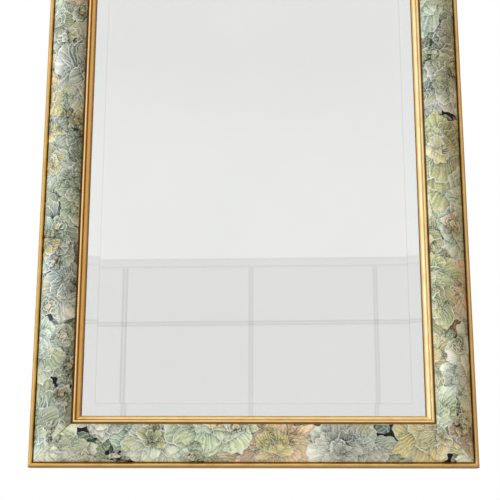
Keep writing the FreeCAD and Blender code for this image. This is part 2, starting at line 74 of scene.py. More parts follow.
# Print colours as they look on the cloth: a petal's root, body, tip and turned rim
PETALS = {
    "sage": ((0.42, 0.50, 0.45), (0.60, 0.66, 0.56), (0.77, 0.79, 0.66), (0.92, 0.92, 0.81)),
    "mist": ((0.44, 0.53, 0.51), (0.65, 0.71, 0.65), (0.81, 0.84, 0.75), (0.95, 0.95, 0.87)),
    "dusk": ((0.45, 0.50, 0.52), (0.64, 0.67, 0.65), (0.80, 0.80, 0.74), (0.94, 0.93, 0.86)),
    "moss": ((0.44, 0.48, 0.35), (0.63, 0.65, 0.46), (0.79, 0.77, 0.58), (0.93, 0.90, 0.74)),
    "blush": ((0.66, 0.49, 0.36), (0.85, 0.69, 0.53), (0.92, 0.80, 0.68), (0.97, 0.91, 0.82)),
    "straw": ((0.61, 0.54, 0.31), (0.83, 0.74, 0.48), (0.91, 0.85, 0.63), (0.97, 0.93, 0.77)),
    "pearl": ((0.58, 0.64, 0.59), (0.82, 0.84, 0.76), (0.93, 0.93, 0.85), (0.98, 0.97, 0.90)),
}
# A leaf's shaded half, lit half and margin
LEAVES = {
    "green": ((0.41, 0.49, 0.42), (0.57, 0.64, 0.52), (0.76, 0.79, 0.66)),
    "olive": ((0.44, 0.46, 0.28), (0.61, 0.61, 0.40), (0.78, 0.75, 0.55)),
    "tan": ((0.58, 0.41, 0.25), (0.77, 0.59, 0.38), (0.88, 0.74, 0.55)),
    "slate": ((0.37, 0.44, 0.44), (0.54, 0.61, 0.58), (0.74, 0.78, 0.72)),
}
# How often each colour comes up, and the warm ones, which keep together
BLOOM_SHARES = (0.23, 0.17, 0.09, 0.12, 0.14, 0.12, 0.13)
LEAF_SHARES = (0.38, 0.19, 0.21, 0.22)
WARM_NAMES = ("tan", "olive", "straw", "blush", "moss")
WARM_PULL, WARM_REACH = 16, 12
GROUND = (0.05, 0.06, 0.07)
# How much of each colour a shape takes from the print just outside it, and how far that reaches
SHADOW, SHADOW_REACH = (0.25, 0.21, 0.20), 3.0
# The soft waves that bend every outline: how far they swing, and their size
BENDS = ((3.4, 18), (1.4, 6))
# The size of the warm parts of the cloth, and of its large shading
HEAT_SIZE = 150
# Colours that drift over the print in soft patches: how much of each, and the patches' size
VEILS = (
    ((0.95, 0.95, 0.92), 0.30, 27),
    ((0.66, 0.65, 0.42), 0.34, 38),
    ((0.58, 0.66, 0.63), 0.30, 33),
)
# The print's middle level, how far its lights and its colours are pushed from it, and its large shading
MIDDLE, CONTRAST, COLOURING, LARGE_SHADING = 0.72, 1.36, 1.18, 0.09
# Rings of a bloom from the outside in: petals, their distance from its middle, length and width as shares
# of its radius
OPEN_RINGS = (
    (7, 0.60, 0.44, 0.32),
    (6, 0.42, 0.38, 0.28),
    (6, 0.28, 0.30, 0.22),
    (5, 0.16, 0.21, 0.16),
    (4, 0.07, 0.12, 0.10),
)
FULL_RINGS = (
    (10, 0.72, 0.30, 0.21),
    (10, 0.57, 0.28, 0.20),
    (9, 0.43, 0.25, 0.18),
    (7, 0.30, 0.21, 0.15),
    (6, 0.18, 0.16, 0.12),
    (4, 0.07, 0.11, 0.09),
)
SMALL_RINGS = ((6, 0.58, 0.42, 0.34), (5, 0.30, 0.30, 0.26), (4, 0.10, 0.20, 0.18))
# The least distance between leaves, between large blooms and between small ones
LEAF_SPACING, BLOOM_SPACING, SMALL_SPACING = 27, 92, 46
# Each strip is cut from another part of the cloth: its seed, and a level that lightens or darkens its ink,
# painted light and shade that sets how bright each side of the frame looks
STRIPS = {"bottom": (22, 1.055), "right": (47, 0.95), "top": (25, 1.0), "left": (36, 0.92)}


def linear(colour):
    """A colour as it looks, turned into the linear values that a shader takes."""
    colour = np.asarray(colour, float)
    return np.where(colour <= 0.04045, colour / 12.92, ((colour + 0.055) / 1.055) ** 2.4)


def paint_colour(*levels):
    """The same, from 0 to 255 levels, with the alpha that a colour socket wants."""
    return (*linear(np.asarray(levels) / 255).tolist(), 1.0)


# Shader nodes


class Value:
    """A number that a node gives. Python's operators on it add Math nodes."""

    def __init__(self, nodes, socket):
        self.nodes, self.socket = nodes, socket

    def math(self, operation, *others):
        sockets = dict(enumerate((self, *others)))
        return self.nodes.add("ShaderNodeMath", {"operation": operation}, sockets)

    def clamped(self):
        return self.nodes.add("ShaderNodeClamp", {}, {0: self})

    def step(self, low, high, start=0.0, end=1.0):
        """Goes smoothly from start to end while the value goes from low to high."""
        settings = {"interpolation_type": "SMOOTHSTEP"}
        return self.nodes.add("ShaderNodeMapRange", settings, {0: self, 1: low, 2: high, 3: start, 4: end})

    def line(self, place, half_width):
        """1 along the thin line where the value is at a place, 0 beside it."""
        return abs(self - place).step(half_width * 0.4, half_width, 1.0, 0.0)

    def __add__(self, other):
        return self.math("ADD", other)

    def __sub__(self, other):
        return self.math("SUBTRACT", other)

    def __rsub__(self, other):
        return self.nodes.add("ShaderNodeMath", {"operation": "SUBTRACT"}, {0: other, 1: self})

    def __mul__(self, other):
        return self.math("MULTIPLY", other)

    def __truediv__(self, other):
        return self.math("DIVIDE", other)

    def __abs__(self):
        return self.math("ABSOLUTE")

    __radd__, __rmul__ = __add__, __mul__


class Nodes:
    """A node tree that is being filled."""

    def __init__(self, tree):
        self.tree = tree
        self.made = {}

    def add(self, kind, settings, sockets, output=0):
        """Adds a node: its settings first, then a value or a link for each socket. Gives one output."""
        node = self.tree.nodes.new(kind)
        for name, setting in settings.items():
            setattr(node, name, setting)
        for name, value in sockets.items():
            if isinstance(value, Value):
                self.tree.links.new(value.socket, node.inputs[name])
            else:
                node.inputs[name].default_value = value
        return Value(self, node.outputs[output])

    def place(self):
        """Object coordinates, in metres."""
        if "place" not in self.made:
            self.made["place"] = self.add("ShaderNodeTexCoord", {}, {}, "Object")
        return self.made["place"]

    def split(self, vector):
        """The three numbers of a vector."""
        parts = self.add("ShaderNodeSeparateXYZ", {}, {0: vector})
        return [Value(self, socket) for socket in parts.socket.node.outputs]

    def join(self, x, y, z):
        return self.add("ShaderNodeCombineXYZ", {}, {0: x, 1: y, 2: z})

    def noise(self, vector, scale, detail, roughness=0.5):
        sockets = {"Vector": vector, "Scale": scale, "Detail": detail, "Roughness": roughness}
        return self.add("ShaderNodeTexNoise", {"noise_dimensions": "3D"}, sockets)

    def cells(self, vector, scale):
        """Distance from the middle of the nearest of many random cells."""
        sockets = {"Vector": vector, "Scale": scale}
        return self.add("ShaderNodeTexVoronoi", {"feature": "F1"}, sockets, "Distance")

    def mix(self, first, second, factor):
        """Colour that goes from the first to the second with the factor."""
        settings = {"data_type": "RGBA", "clamp_factor": True}
        return self.add("ShaderNodeMix", settings, {0: factor, 6: first, 7: second}, 2)

    def times(self, first, second, factor):
        """Colour multiplied by another, by a share."""
        settings = {"data_type": "RGBA", "blend_type": "MULTIPLY"}
        return self.add("ShaderNodeMix", settings, {0: factor, 6: first, 7: second}, 2)

    def grey(self, value):
        return self.add("ShaderNodeCombineColor", {}, {0: value, 1: value, 2: value})


class Finish(Nodes):
    """A material round one Principled shader. Constants are set on its own sockets."""

    def __init__(self, name, **constants):
        self.material = bpy.data.materials.new(name)
        self.material.use_nodes = True
        super().__init__(self.material.node_tree)
        self.shader = self.tree.nodes["Principled BSDF"]
        for key, value in constants.items():
            socket = key.replace("_", " ").title().replace("Ior", "IOR")
            self.shader.inputs[socket].default_value = value

    def feed(self, **links):
        """Links values that vary over the surface to the shader."""
        for key, value in links.items():
            self.tree.links.new(value.socket, self.shader.inputs[key.replace("_", " ").title()])

    def bump(self, height, distance):
        """Height in units of distance, in metres, as a bump of the surface."""
        self.feed(normal=self.add("ShaderNodeBump", {}, {"Distance": distance, "Height": height}))

    def moulding(self):
        """Inset, rise and distance along the frame's sides, in millimetres, worked out from the place."""
        x, y, z = self.split(self.place())
        side = HALF["across"] - 1000 * abs(x)
        end = HALF["up"] - 1000 * abs(z)
        on_side = end.math("GREATER_THAN", side)
        self.made["mitre"] = abs(side - end)
        along = 1000 * (z * on_side + x * (1 - on_side))
        return side.math("MINIMUM", end), -1000 * y - WALL_GAP, along

    def grain(self, stretch):
        """A place whose numbers run slowly along the moulding, for grain and brush marks."""
        inset, rise, along = self.moulding()
        return self.join(along * (0.001 / stretch), inset * 0.001, rise * 0.001)


# Meshes


def new_piece(name, points, faces, materials):
    """A mesh object in metres from points in millimetres, smooth but for its sharp edges."""
    mesh = bpy.data.meshes.new(name)
    mesh.from_pydata((np.asarray(points) / 1000).tolist(), [], faces)
    mesh.validate()
    mesh.shade_smooth()
    mesh.set_sharp_from_angle(angle=math.radians(35))
    piece = bpy.data.objects.new(name, mesh)
    bpy.context.scene.collection.objects.link(piece)
    for material in materials:
        mesh.materials.append(material)
    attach(piece, "frame")
    return piece


def spaced(line, step):
    """Points at even steps along an open line: its length is added up, and places read off at the steps."""
    line = np.asarray(line, float)
    length = np.concatenate(([0], np.cumsum(np.hypot(*np.diff(line, axis=0).T))))
    places = np.linspace(0, length[-1], max(2, round(length[-1] / step) + 1))
    return np.stack([np.interp(places, length, line[:, axis]) for axis in (0, 1)], axis=1)


def eased(line, radius):
    """Rounds an open line's corners: each point becomes the weighted mean of those within the radius.

    The line goes on past each end as its own image turned half round about it, so the ends stay in place.
    """
    reach = 8
    fine = spaced(line, radius / reach)
    weights = np.hanning(2 * reach + 3)[1:-1]
    weights /= weights.sum()
    before = 2 * fine[0] - fine[reach:0:-1]
    after = 2 * fine[-1] - fine[-2 : -reach - 2 : -1]
    padded = np.concatenate((before, fine, after))
    return np.stack([np.convolve(padded[:, axis], weights, "valid") for axis in (0, 1)], axis=1)


def arc(start, middle, end, count=40):
    """Points on the circle through three points: its centre is where the bisectors of their chords meet."""
    (ax, ay), (bx, by), (cx, cy) = start, middle, end
    chords = np.array(((bx - ax, by - ay), (cx - bx, cy - by)), float)
    sums = np.array(((bx**2 - ax**2 + by**2 - ay**2), (cx**2 - bx**2 + cy**2 - by**2))) / 2
    centre = np.linalg.solve(chords, sums)
    radius = math.hypot(ax - centre[0], ay - centre[1])
    angles = np.unwrap([math.atan2(y - centre[1], x - centre[0]) for x, y in (start, middle, end)])
    turn = np.linspace(angles[0], angles[2], count)
    return np.stack((centre[0] + radius * np.cos(turn), centre[1] + radius * np.sin(turn)), axis=1)


def carried(side, section, stations, normals=None):
    """Carries a closed section along one side between its mitres, and gives the run of each point too.

    A point of the section at an inset runs from minus to plus half the side's length less the inset and the
    gap, so both ends lie in the mitre planes. The section turns from the inset's direction towards the front.
    Where normals are given, the ends are rounded over: a point nearer the end than the radius sinks along its
    normal by the radius less the root of radius squared less (radius - distance) squared.
    """
    length_name, height_name, along, inwards = SIDES[side]
    inset, rise = np.broadcast_to(section.T[:, None, :], (2, len(stations), len(section)))
    if normals is not None:
        away = np.minimum((HALF[length_name] - inset) * (1 - abs(stations))[:, None], END_RADIUS)
        drop = END_RADIUS - np.sqrt(END_RADIUS**2 - (END_RADIUS - away) ** 2)
        inset, rise = inset - normals[:, 0] * drop, rise - normals[:, 1] * drop
    run = stations[:, None] * (HALF[length_name] - inset - MITRE_GAP)
    start = -HALF[height_name] * np.asarray(inwards, float)
    points = start + run[..., None] * np.asarray(along, float)
    points += inset[..., None] * np.asarray(inwards, float)
    points += (rise + WALL_GAP)[..., None] * np.asarray(FORWARD, float)
    count = len(section)
    corner = np.arange(len(stations) * count).reshape(len(stations), count)
    after = np.roll(corner, -1, axis=1)
    quads = np.stack((corner[:-1], after[:-1], after[1:], corner[1:]), axis=-1).reshape(-1, 4)
    return points.reshape(-1, 3), [*quads.tolist(), corner[-1].tolist(), corner[0, ::-1].tolist()], run


# The print


def smooth(low, high, value):
    """Rises smoothly from 0 to 1 while the value goes from low to high."""
    t = np.clip((value - low) / (high - low), 0, 1)
    return t * t * (3 - 2 * t)


def shade(first, second, share):
    """Colours that go from the first to the second with the share."""
    return first + (second - first) * np.asarray(share)[..., None]


def cloud(rng, x, y, size):
    """Soft random numbers from -1 to 1: random levels on a square grid, blended smoothly between corners."""
    u, v = (x - x.min()) / size, (y - y.min()) / size
    i, j = u.astype(int), v.astype(int)
    level = rng.uniform(-1, 1, (i.max() + 2, j.max() + 2))
    s, t = smooth(0, 1, u - i), smooth(0, 1, v - j)
    near = level[i, j] + (level[i, j + 1] - level[i, j]) * t
    far = level[i + 1, j] + (level[i + 1, j + 1] - level[i + 1, j]) * t
    return near + (far - near) * s


class Cloth:
    """Points on the cloth, in millimetres, with the print that has been laid on them so far.

    tint is the ink, edge the distance to the nearest outline, phase counts hatching lines and strength is
    their weight. The shapes are drawn on places bent by soft waves, so that no outline is even.
    """

    def __init__(self, along, across, rng):
        x, y = along.ravel(), across.ravel()
        self.x, self.y = x.copy(), y.copy()
        for places in (self.x, self.y):
            for swing, size in BENDS:
                places += swing * cloud(rng, x, y, size)
        self.drift = [cloud(rng, x, y, size) for _, _, size in VEILS]
        self.heat = cloud(rng, x, y, HEAT_SIZE)
        self.tint = np.tile(np.asarray(GROUND, float), (x.size, 1))
        self.edge = np.full(x.size, 9.0)
        self.phase = np.zeros(x.size)
        self.strength = np.zeros(x.size)

    def around(self, centre, reach):
        """The points near a centre, and where they are from it."""
        near = (abs(self.x - centre[0]) < reach) & (abs(self.y - centre[1]) < reach)
        index = np.flatnonzero(near)
        return index, self.x[index] - centre[0], self.y[index] - centre[1]

    def pick(self, rng, spot, colours, shares):
        """Picks one of the colours: the warm ones keep together where the cloth's heat is high."""
        index = self.around(spot, WARM_REACH)[0]
        pull = WARM_PULL ** (self.heat[index].mean() if index.size else 0.0)
        weights = [share * (pull if name in WARM_NAMES else 1) for name, share in zip(colours, shares)]
        weights = np.array(weights)
        return colours[list(colours)[rng.choice(len(colours), p=weights / weights.sum())]]

    def lay(self, index, depth, colour, phase, strength, soft):
        """Lays a shape over the print: it covers points of a depth above 0, and shades those outside."""
        cover = smooth(-soft, soft, depth)
        dim = np.exp(np.minimum(depth, 0) / SHADOW_REACH) * (1 - cover)
        self.tint[index] = shade(self.tint[index] * (1 - np.outer(dim, SHADOW)), colour, cover)
        self.edge[index] = np.where(depth > 0, depth, np.minimum(self.edge[index], -depth))
        top = depth > 0
        self.phase[index[top]] = phase[top]
        self.strength[index[top]] = strength[top]

    def petal(self, centre, size, turn, rng, colours, lines, level):
        """A ruffled petal: a bent oval whose rim swings with three waves of its angle.

        u and v run along and across it, as shares of its length and width. Its colour goes from root to tip,
        streaked in a fan from the root, and its turned rim is lit on one side.
        """
        index, dx, dy = self.around(centre, 1.5 * max(size) + 5)
        if not index.size:
            return
        c, s = math.cos(turn), math.sin(turn)
        u, v = (c * dx + s * dy) / size[0], (c * dy - s * dx) / size[1]
        v = v + rng.uniform(-0.35, 0.35) * (u + 1) ** 2 / 2
        angle, reach = np.arctan2(v, u), np.hypot(u, v) + 1e-6
        wave = rng.uniform(0, math.tau, 3)
        rim = 1 + 0.07 * np.cos(3 * angle + wave[0]) + 0.05 * np.cos(6 * angle + wave[1])
        notch = rng.uniform(-0.16, 0.16) * np.exp(-((angle / 0.35) ** 2))
        rim += 0.035 * np.cos(11 * angle + wave[2]) + notch
        depth = (rim - reach) * np.hypot(dx, dy) / reach
        fan = np.arctan2(v, u + 1.5)
        along = np.clip((u + 1) / 2, 0, 1)
        shades = [np.asarray(colour) * level * (1 + rng.normal(0, 0.02)) for colour in colours]
        root, body, tip, turned = shades
        fold = 0.5 + 0.5 * np.cos(rng.uniform(5, 9) * fan + wave[0] + 2.4 * along)
        streak = 0.5 + 0.5 * np.cos(2 * lines * fan + 2.2 * np.sin(3 * along + wave[2]))
        lit = smooth(-0.5, 0.7, np.cos(angle - wave[1]))
        rolled = (1 - smooth(0.3, 2.6, depth)) * smooth(0.2, 0.8, along) * (0.25 + 0.75 * lit)
        colour = shade(root, body, smooth(-0.05, 0.6, along + 0.25 * fold))
        colour = shade(colour, tip, smooth(0.4, 1.0, along) * (0.2 + 0.8 * fold))
        colour = shade(colour, turned, 0.42 * streak * smooth(0.15, 0.9, along + 0.2 * fold))
        colour = shade(colour, turned, rolled)
        phase = lines * fan / 1.6 + 0.6 * np.sin(3 * along + wave[1])
        strength = 0.75 * (1 - smooth(0.2, 1.0, along)) + 0.35 * (1 - fold)
        self.lay(index, depth, colour, phase, strength, rng.uniform(0.4, 1.0))

    def leaf(self, base, length, width, turn, rng, colours):
        """A leaf: half as wide as a sine of the way along its bent midrib, hatched along its side veins."""
        middle = base + length / 2 * np.array((math.cos(turn), math.sin(turn)))
        index, dx, dy = self.around(middle, length * 0.62 + width)
        if not index.size:
            return
        c, s = math.cos(turn), math.sin(turn)
        u, v = (c * dx + s * dy) / length + 0.5, c * dy - s * dx
        v = v - rng.uniform(-0.3, 0.3) * length * u * (1 - u)
        inner = np.clip(u, 0, 1)
        half = width / 2 * np.sin(math.pi * inner**0.8) ** 0.9
        beyond = length * abs(u - inner)
        depth = np.where(beyond > 0, -np.hypot(beyond, v), half - abs(v))
        shaded, body, margin = (np.asarray(colour) * (1 + rng.normal(0, 0.035)) for colour in colours)
        side = smooth(-0.8, 0.8, v)
        across = abs(v) / (width / 2)
        colour = shade(shaded, body, 0.3 + 0.7 * side * smooth(0, 0.7, inner))
        colour = shade(colour, margin, smooth(0.2, 0.9, across) * (0.25 + 0.55 * side))
        colour = shade(colour, margin, 0.6 * (1 - smooth(0.2, 0.9, abs(v))))
        phase = 9 * inner - 1.4 * across
        self.lay(index, depth, colour, phase, np.full(index.size, 0.5), rng.uniform(0.5, 1.2))

    def bloom(self, centre, radius, rng, rings, colours, heart):
        """A full bloom: rings of petals from the outside in, lighter to one side.

        Each ring's middle is moved a little further one way. The two inmost rings have the heart's colours.
        """
        lean, lean_by = rng.uniform(0, math.tau), rng.uniform(0.05, 0.35) * radius
        squash, sun = rng.uniform(0.6, 1.0), rng.uniform(0, math.tau)
        for order, (count, distance, length, width) in enumerate(rings):
            start = rng.uniform(0, math.tau)
            middle = centre + lean_by * order / 4 * np.array((math.cos(lean), math.sin(lean)))
            shades = heart if order > len(rings) - 3 else colours
            for number in rng.permutation(count):
                turn = start + math.tau * (number + rng.uniform(-0.3, 0.3)) / count
                direction = np.array((math.cos(turn), squash * math.sin(turn)))
                out = distance * radius * rng.uniform(0.85, 1.15) * direction
                size = (length * radius * rng.uniform(0.8, 1.25), width * radius * rng.uniform(0.75, 1.35))
                level = 1 + 0.09 * math.cos(turn - sun) + rng.normal(0, 0.04) - 0.1 * order / len(rings)
                turn = math.atan2(out[1], out[0]) + rng.uniform(-0.5, 0.5)
                self.petal(middle + out, size, turn, rng, shades, 14 - order, level)

    def veil(self):
        """Lets soft patches of other colours drift over the print, the dark ground left as it is."""
        body = smooth(0.2, 0.5, self.tint.mean(axis=1))
        for drift, (colour, share, _) in zip(self.drift, VEILS):
            self.tint = shade(self.tint, np.asarray(colour), share * smooth(0.0, 0.75, drift) * body)

    def deepen(self):
        """Pushes each colour's grey from the middle level, and the colour from its grey.

        The large shading is added to the grey, and the dark ground is left as it is.
        """
        grey = self.tint.mean(axis=1, keepdims=True)
        level = MIDDLE + CONTRAST * (grey - MIDDLE) + LARGE_SHADING * self.heat[:, None]
        pushed = np.clip(level + COLOURING * (self.tint - grey), 0.12, 1)
        self.tint = shade(self.tint, pushed, smooth(0.1, 0.3, grey[:, 0]))


def scattered(rng, span, spacing):
    """Random places in a rectangle, each kept only if it is far enough from all those kept before."""
    tries = 4000
    places = []
    for spot in rng.uniform((span[0], span[2]), (span[1], span[3]), (tries, 2)):
        if all(math.hypot(*(spot - other)) > spacing for other in places):
            places.append(spot)
    return places


def print_cloth(along, across, width, seed):
    """Prints a strip: leaves all over, three more round each bloom, large blooms and small ones.

    Last come the veils of colour and the print's deeper shades.
    """
    rng = np.random.default_rng(seed)
    cloth = Cloth(along, across, rng)
    # Shapes also start from places a little outside the strip, and are cut off by its edges
    past_end, past_edge = 25, 18
    span = (along.min() - past_end, along.max() + past_end, -past_edge, width + past_edge)
    for spot in scattered(rng, span, LEAF_SPACING):
        colours = cloth.pick(rng, spot, LEAVES, LEAF_SHARES)
        length, wide, turn = rng.uniform(48, 85), rng.uniform(24, 38), rng.uniform(0, math.tau)
        cloth.leaf(spot, length, wide, turn, rng, colours)
    blooms = scattered(rng, span, BLOOM_SPACING)
    for spot in blooms:
        for turn in rng.uniform(0, math.tau) + np.arange(3) * 2.1 + rng.uniform(-0.5, 0.5, 3):
            colours = cloth.pick(rng, spot, LEAVES, LEAF_SHARES)
            root = spot + 38 * np.array((math.cos(turn), math.sin(turn)))
            turn += rng.uniform(-0.5, 0.5)
            cloth.leaf(root, rng.uniform(40, 70), rng.uniform(18, 32), turn, rng, colours)
    for spot in blooms:
        colours = cloth.pick(rng, spot, PETALS, BLOOM_SHARES)
        heart = (PETALS["straw"], PETALS["moss"], colours)[rng.choice(3, p=(0.3, 0.3, 0.4))]
        rings = (OPEN_RINGS, FULL_RINGS)[rng.choice(2, p=(0.65, 0.35))]
        cloth.bloom(spot, rng.uniform(58, 88), rng, rings, colours, heart)
    for spot in scattered(rng, span, SMALL_SPACING):
        if rng.random() < 0.5:
            colours = cloth.pick(rng, spot, PETALS, BLOOM_SHARES)
            cloth.bloom(spot, rng.uniform(13, 21), rng, SMALL_RINGS, colours, PETALS["straw"])
    cloth.veil()
    cloth.deepen()
    return cloth


# Finishes


def printed_satin():
    """Cotton satin printed in soft colours and glazed.

    The ink and the drawing are kept on the cover's points. Hatching, pale threads, specks and broken
    outlines are drawn over the ink, then dirt at the mitres, painted shade along the edges by the grooves,
    painted light towards the bottom of the frame, and a weave.
    """
    finish = Finish("printed_satin", specular_ior_level=0.25, coat_roughness=0.22)
    ink = finish.add("ShaderNodeAttribute", {"attribute_name": "ink"}, {}, "Color")
    drawing = finish.add("ShaderNodeAttribute", {"attribute_name": "drawing"}, {}, "Vector")
    edge, phase, strength = finish.split(drawing)
    place = finish.place()
    inked = finish.split(ink)[1].step(0.03, 0.16)
    wobble = finish.noise(place, 300.0, 2.0)
    patches = finish.noise(place, 42.0, 3.0, 0.6)
    specks = finish.noise(place, 430.0, 3.0, 0.7)
    ripple = abs(phase.math("FRACT") - 0.5) + (wobble - 0.5) * 0.2
    dark_lines = ripple.step(0.05, 0.22, 1.0, 0.0) * strength
    pale_lines = ripple.step(0.36, 0.47) * (strength * 0.75 + 0.25)
    from_edge = edge + (wobble - 0.5) * 1.0
    rim = from_edge.step(0.35, 1.15, 1.0, 0.0)
    outline = rim * patches.step(0.42, 0.56) * inked
    lace = specks.step(0.53, 0.66) * patches.step(0.60, 0.42, 0.15, 1.0) * inked
    pits = specks.step(0.47, 0.36) * patches.step(0.55, 0.38, 0.25, 1.0)
    colour = finish.times(ink, (0.34, 0.42, 0.33, 1), dark_lines)
    colour = finish.mix(colour, (0.92, 0.92, 0.82, 1), pale_lines * inked * 0.42)
    colour = finish.times(colour, (0.34, 0.39, 0.29, 1), pits * 0.9)
    colour = finish.times(colour, (0.30, 0.36, 0.33, 1), from_edge.step(1.0, 2.2, 0.28, 0.0))
    colour = finish.times(colour, (0.30, 0.37, 0.36, 1), rim * patches.step(0.52, 0.40) * 0.4)
    colour = finish.mix(colour, (0.91, 0.91, 0.82, 1), outline * 0.64)
    colour = finish.mix(colour, (0.88, 0.89, 0.80, 1), lace * 0.52)
    inset, rise, along = finish.moulding()
    in_mitre = finish.made["mitre"].step(0.15, 0.75, 0.9, 0.0)
    colour = finish.times(colour, (0.20, 0.18, 0.13, 1), in_mitre)
    # Painted shade: the print darkens and warms within 1.4 mm of the cover's edges, where they turn down into
    # the grooves
    from_groove = (inset - COVER_OUT).math("MINIMUM", COVER_IN - inset)
    colour = finish.times(colour, (0.52, 0.40, 0.24, 1), from_groove.step(0.0, 1.4, 0.7, 0.0))
    # Painted light: the print goes paler and warmer towards the bottom of the frame
    painted_light_low = finish.split(place)[2].step(-0.502, -0.465, 0.22, 0.0) * inked
    colour = finish.mix(colour, (0.80, 0.76, 0.58, 1), painted_light_low)
    threads_per_mm = 2.2
    threads = finish.join(along * threads_per_mm, inset * threads_per_mm, rise * threads_per_mm)
    weave = finish.noise(threads, 1.0, 1.0)
    finish.feed(
        base_color=colour,
        roughness=weave.step(0.3, 0.7, 0.40, 0.52),
        coat_weight=patches.step(0.3, 0.7, 0.5, 0.85) * inked,
    )
    finish.bump(weave * 0.5 + dark_lines * -0.4 + outline * 0.6, 0.00010)
    return finish.material


def gilding(name, low, high, bole_and_painted_shade, wear_and_highlight):
    """Metal leaf over brown bole: pale where hands and cloths have rubbed it and where highlight is painted,
    deep and dull in its recesses, where bole shows and shade is painted.

    Its last two arguments give how much of each there is, from the inset, the rise and a mask for painted
    light and shade by side, 1 on the left and the middle of the frame and 0 on the right rail.
    """
    finish = Finish(name, coat_roughness=0.18)
    inset, rise, _ = finish.moulding()
    # A mask for painted light and shade by side: 1 on the left and the middle of the frame, 0 on the right
    # rail
    painted_light_side = finish.split(finish.place())[0].step(0.24, 0.34, 1.0, 0.0)
    bole_and_shade, rub_and_highlight = bole_and_painted_shade(inset, rise, painted_light_side), wear_and_highlight(inset, rise, painted_light_side)
    bole_and_shade = bole_and_shade.math("MAXIMUM", finish.made["mitre"].step(0.08, 0.35, 0.7, 0.0))
    strokes = finish.noise(finish.grain(18.0), 900.0, 3.0, 0.6)
    clouds = finish.noise(finish.place(), 38.0, 4.0, 0.55)
    flecks = finish.noise(finish.place(), 620.0, 2.0, 0.5)
    tone = (strokes * 0.6 + clouds * 0.4).step(0.28, 0.72)
    colour = finish.mix(low, high, tone)
    # Painted highlight, partly rubbed wear: pale leaf, paler still on the right rail
    polish_and_highlight = finish.mix(paint_colour(253, 240, 194), paint_colour(252, 228, 170), painted_light_side)
    colour = finish.mix(colour, polish_and_highlight, rub_and_highlight * clouds.step(0.25, 0.6, 0.7, 1.0))
    # Bole in the recesses, partly painted shade
    colour = finish.mix(colour, paint_colour(122, 76, 22), bole_and_shade)
    worn_through = flecks.step(0.67, 0.74) * clouds.step(0.52, 0.66)
    colour = finish.mix(colour, paint_colour(140, 76, 40), worn_through * 0.6)
    bare = bole_and_shade.math("MAXIMUM", worn_through).clamped()
    finish.feed(
        base_color=colour,
        metallic=1 - bare * 0.7,
        roughness=tone.step(0.0, 1.0, 0.40, 0.27) + bare * 0.22,
        coat_weight=0.35 - bare * 0.3,
    )
    finish.bump(strokes * 0.6 + flecks * 0.25 - worn_through * 0.4, 0.00010)
    return finish.material


def gilt_edge():
    """Gilding of the outer edge: dark in the wall of the groove, umber paint down the outside.

    The bead's outer half has painted shade, as has the whole edge on the right rail, and its crest goes paler
    from rubbing and painted highlight.
    """

    def bole_and_painted_shade(inset, rise, painted_light_side):
        groove = inset.step(6.2, 6.9) * rise.step(18.2, 20.4, 0.85, 0.0)
        # Umber paint down the outside, painted shade over the bead's outer half, and over the whole edge on
        # the right rail
        flank_paint_and_shade = inset.step(0.8, 3.2, 0.65, 0.0).math("MAXIMUM", rise.step(6.0, 15.0, 1.0, 0.0))
        flank_paint_and_shade = flank_paint_and_shade.math("MAXIMUM", 0.25 - painted_light_side * 0.25)
        return groove.math("MAXIMUM", flank_paint_and_shade)

    def wear_and_highlight(inset, rise, painted_light_side):
        # The bead's crest goes paler: rubbed wear, partly painted highlight
        return rise.step(20.9, EDGE_TOP, 0.0, 0.25)

    return gilding("gilt_edge", paint_colour(219, 163, 74), paint_colour(245, 203, 110), bole_and_painted_shade, wear_and_highlight)


def gilt_liner():
    """Gilding of the liner: dark in the quirk, down the lip's edge over the glass and in the groove.

    The lip's edge is dark bole; the quirk and the slope beside the lip have painted shade, kept off the right
    rail. The ridge's top has rubbed wear and painted highlight, the slope painted highlight, and the right
    rail is painted paler all over.
    """

    def bole_and_painted_shade(inset, rise, painted_light_side):
        # Painted shade in the quirk, kept off the right rail
        quirk = inset.step(72.6, RIDGE_IN) * inset.step(73.9, 75.0, 0.9, 0.0) * painted_light_side
        # The lip's edge is dark bole; the slope beside it has painted shade, kept off the right rail
        lip = inset.step(SIGHT - 0.4, SIGHT - 0.08).math("MAXIMUM", inset.step(78.0, 79.4) * painted_light_side * 0.55)
        wall = inset.step(LINER_OUT + 0.05, LINER_OUT + 0.3, 0.6, 0.0)
        return quirk.math("MAXIMUM", lip).math("MAXIMUM", wall)

    def wear_and_highlight(inset, rise, painted_light_side):
        # The ridge's top: rubbed wear, partly painted highlight; the slope: painted highlight; the right
        # rail: painted highlight all over
        ridge = inset.step(72.4, 71.4) * rise.step(28.2, 29.0)
        slope = inset.step(74.4, 75.6) * inset.step(79.2, 77.0) * 0.9
        return ridge.math("MAXIMUM", slope).math("MAXIMUM", 0.9 - painted_light_side * 0.9)

    return gilding("gilt_liner", paint_colour(238, 180, 90), paint_colour(252, 214, 130), bole_and_painted_shade, wear_and_highlight)


def core_wood():
    """Pale softwood with grain along each rail, and dark bole on the floors of the front's grooves."""
    finish = Finish("core_wood", specular_ior_level=0.3)
    inset, rise, _ = finish.moulding()
    warp = finish.noise(finish.grain(10.0), 30.0, 2.0)
    rings = ((inset * 0.9 + rise * 0.35 + warp * 14).math("SINE") * 0.5 + 0.5).math("POWER", 2.0)
    pores = finish.noise(finish.grain(40.0), 1600.0, 2.0)
    clouds = finish.noise(finish.grain(6.0), 25.0, 3.0)
    colour = finish.mix(paint_colour(206, 176, 132), paint_colour(178, 138, 92), rings * 0.7)
    colour = finish.mix(colour, paint_colour(222, 196, 156), clouds.step(0.45, 0.7) * 0.6)
    colour = finish.mix(colour, paint_colour(120, 86, 54), pores.step(0.62, 0.74) * 0.6)
    front = rise.step(13.5, 14.2)
    colour = finish.mix(colour, paint_colour(168, 110, 40), front)
    finish.feed(base_color=colour, roughness=pores.step(0.3, 0.8, 0.62, 0.8))
    finish.bump(rings * -0.3 + pores * -0.5, 0.00015)
    return finish.material


